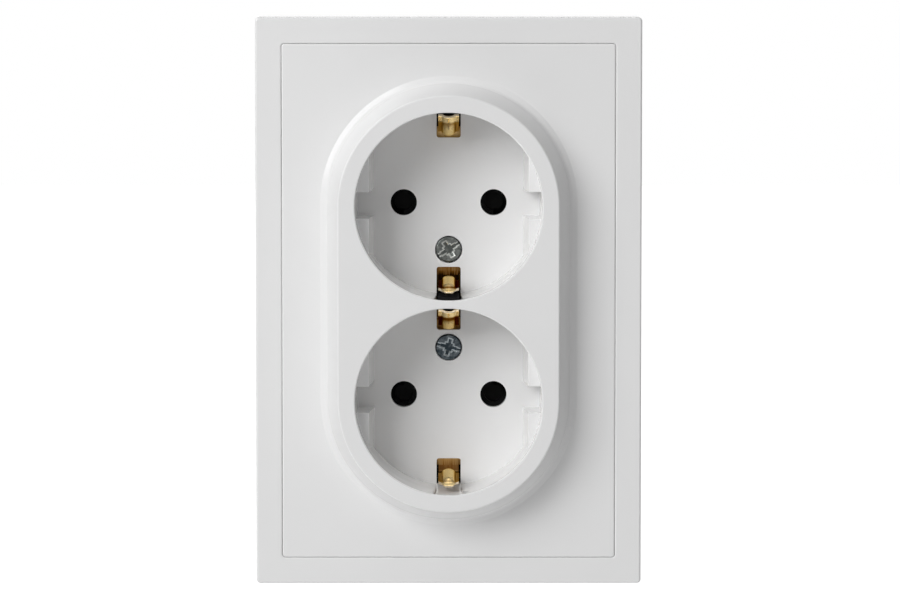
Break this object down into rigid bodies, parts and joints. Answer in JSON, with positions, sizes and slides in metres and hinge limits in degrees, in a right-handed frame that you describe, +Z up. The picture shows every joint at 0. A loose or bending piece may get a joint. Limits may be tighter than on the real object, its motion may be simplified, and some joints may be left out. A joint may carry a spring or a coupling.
{
  "type": "double schuko socket",
  "caption": "Flush wall socket outlet with a raised oval collar, two round plug wells, side earth contacts, sprung shutters and rear push-in terminals.",
  "frame": {"origin": "middle of the two box-screw slots, on the wall plane at the back of the support plate", "axes": "+X to the right seen from the front, +Y into the wall, +Z up"},
  "size_m": [0.0812, 0.0468, 0.1194],
  "materials": {
    "white_gloss": "gloss moulded",
    "black_shutter": "satin moulded",
    "black_housing": "matt moulded",
    "brass": "bright stamped",
    "zinc_steel": "zinc plated",
    "zinc_sheet": "zinc plated sheet",
    "spring_steel": "bright drawn",
    "grey_button": "satin moulded",
    "green_button": "satin moulded"
  },
  "bodies": {
    "socket": {"cover_frame": "white_gloss", "centre_plate": "white_gloss", "cover_screw_upper": "zinc_steel", "cover_screw_lower": "zinc_steel", "support_plate": "zinc_sheet", "socket_base": "black_housing", "rear_cover": "black_housing", "rear_cover_screws": "zinc_steel", "base_rivets": "zinc_steel", "shutter_spring_upper": "spring_steel", "shutter_spring_lower": "spring_steel", "line_bar": "brass", "neutral_bar": "brass", "earth_bracket_upper": "brass", "earth_bracket_lower": "brass", "earth_link": "brass", "earth_rivets": "brass", "line_clamp_spring": "spring_steel", "neutral_clamp_spring": "spring_steel", "earth_clamp_spring": "spring_steel"},
    "upper_shutter": {"shutter_upper": "black_shutter"},
    "lower_shutter": {"shutter_lower": "black_shutter"},
    "line_button": {"line_release_button": "grey_button"},
    "neutral_button": {"neutral_release_button": "grey_button"},
    "earth_button": {"earth_release_button": "green_button"}
  },
  "joints": [
    {"name": "upper_shutter_slide", "type": "slide", "parent": "socket", "child": "upper_shutter", "axis": [0, 0, 1], "range_m": [0, 0.0062], "stiffness_N_per_m": 60, "springref_m": -0.004, "deforming": ["shutter_spring_upper"]},
    {"name": "lower_shutter_slide", "type": "slide", "parent": "socket", "child": "lower_shutter", "axis": [0, 0, -1], "range_m": [0, 0.0062], "stiffness_N_per_m": 60, "springref_m": -0.004, "deforming": ["shutter_spring_lower"]},
    {"name": "line_button_press", "type": "slide", "parent": "socket", "child": "line_button", "axis": [0, -1, 0], "range_m": [0, 0.0018], "stiffness_N_per_m": 400, "springref_m": -0.002, "deforming": ["line_clamp_spring"]},
    {"name": "neutral_button_press", "type": "slide", "parent": "socket", "child": "neutral_button", "axis": [0, -1, 0], "range_m": [0, 0.0018], "stiffness_N_per_m": 400, "springref_m": -0.002, "deforming": ["neutral_clamp_spring"]},
    {"name": "earth_button_press", "type": "slide", "parent": "socket", "child": "earth_button", "axis": [0, -1, 0], "range_m": [0, 0.0018], "stiffness_N_per_m": 400, "springref_m": -0.002, "deforming": ["earth_clamp_spring"]}
  ]
}
